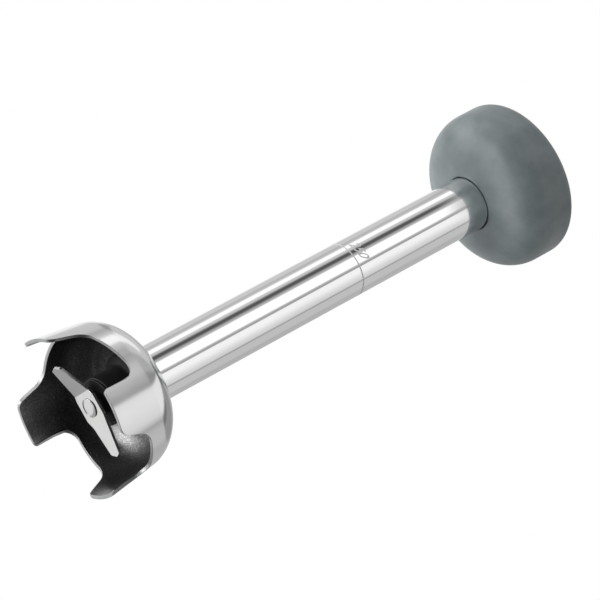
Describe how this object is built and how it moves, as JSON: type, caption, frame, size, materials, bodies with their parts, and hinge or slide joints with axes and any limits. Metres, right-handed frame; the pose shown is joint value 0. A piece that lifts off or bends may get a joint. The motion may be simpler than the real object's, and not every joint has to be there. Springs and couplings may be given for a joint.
{
  "type": "immersion blender mixing foot",
  "caption": "Detachable stainless mixing foot of an immersion blender, with a clawed bell guard, spinning knife, shaft tube and rubber coupling boot.",
  "frame": {"origin": "on the drive axis, in the plane of the bell guard's four claw tips, which is the middle of the bottom of the box", "axes": "+Z along the drive axis from the claw tips up to the motor coupling; the notches between the claws are centred on +X, -X, +Y and -Y, and the claws lie between them"},
  "size_m": [0.1162, 0.1162, 0.4219],
  "materials": {
    "polished_steel": "mirror-polished stainless steel",
    "machined_steel": "fine turned stainless steel",
    "bearing_steel": "ground bearing steel",
    "spring_steel": "blackened spring steel",
    "cage_brass": "satin brass",
    "flange_aluminium": "satin turned aluminium",
    "housing_plastic": "matt black plastic",
    "bush_nylon": "natural nylon",
    "seal_rubber": "matt black nitrile",
    "boot_rubber": "soft satin grey elastomer"
  },
  "bodies": {
    "foot": {"bell_guard": "polished_steel", "mixing_tube": "polished_steel", "lower_bearing_housing": "housing_plastic", "housing_o_ring": "seal_rubber", "lower_housing_circlip": "spring_steel", "shaft_seal": "seal_rubber", "seal_cap": "housing_plastic", "lower_bearing_outer_ring": "bearing_steel", "lower_guide_bush": "bush_nylon", "upper_guide_bush": "bush_nylon", "upper_bearing_housing": "housing_plastic", "upper_housing_circlip": "spring_steel", "upper_dust_seal": "seal_rubber", "upper_bearing_outer_ring": "bearing_steel", "rubber_boot": "boot_rubber", "boot_clamp": "machined_steel", "clamp_screw": "machined_steel", "clamp_nut": "machined_steel", "tube_collar": "machined_steel", "flange_gasket": "seal_rubber", "coupling_flange": "flange_aluminium", "flange_screw_1": "machined_steel", "flange_screw_2": "machined_steel", "flange_screw_3": "machined_steel", "flange_screw_4": "machined_steel"},
    "rotor": {"knife": "polished_steel", "knife_rivet": "polished_steel", "knife_hub": "spring_steel", "drive_shaft": "machined_steel", "lower_bearing_inner_ring": "bearing_steel", "upper_bearing_inner_ring": "bearing_steel", "lower_shaft_circlip": "spring_steel", "upper_shaft_circlip": "spring_steel", "drive_dog": "machined_steel", "drive_dog_pin": "spring_steel"},
    "lower_cage": {"lower_bearing_cage": "cage_brass", "lower_bearing_ball_1": "bearing_steel", "lower_bearing_ball_2": "bearing_steel", "lower_bearing_ball_3": "bearing_steel", "lower_bearing_ball_4": "bearing_steel", "lower_bearing_ball_5": "bearing_steel", "lower_bearing_ball_6": "bearing_steel", "lower_bearing_ball_7": "bearing_steel"},
    "upper_cage": {"upper_bearing_cage": "cage_brass", "upper_bearing_ball_1": "bearing_steel", "upper_bearing_ball_2": "bearing_steel", "upper_bearing_ball_3": "bearing_steel", "upper_bearing_ball_4": "bearing_steel", "upper_bearing_ball_5": "bearing_steel", "upper_bearing_ball_6": "bearing_steel", "upper_bearing_ball_7": "bearing_steel"}
  },
  "joints": [
    {"name": "shaft_spin", "type": "hinge", "parent": "foot", "child": "rotor", "pos_m": [0, 0, 0], "axis": [0, 0, 1], "continuous": true},
    {"name": "lower_cage_spin", "type": "hinge", "parent": "foot", "child": "lower_cage", "pos_m": [0, 0, 0.0408], "axis": [0, 0, 1], "continuous": true},
    {"name": "upper_cage_spin", "type": "hinge", "parent": "foot", "child": "upper_cage", "pos_m": [0, 0, 0.377], "axis": [0, 0, 1], "continuous": true}
  ],
  "couplings": [
    {"joint": "lower_cage_spin", "follows": "shaft_spin", "ratio": 0.39},
    {"joint": "upper_cage_spin", "follows": "shaft_spin", "ratio": 0.39}
  ]
}
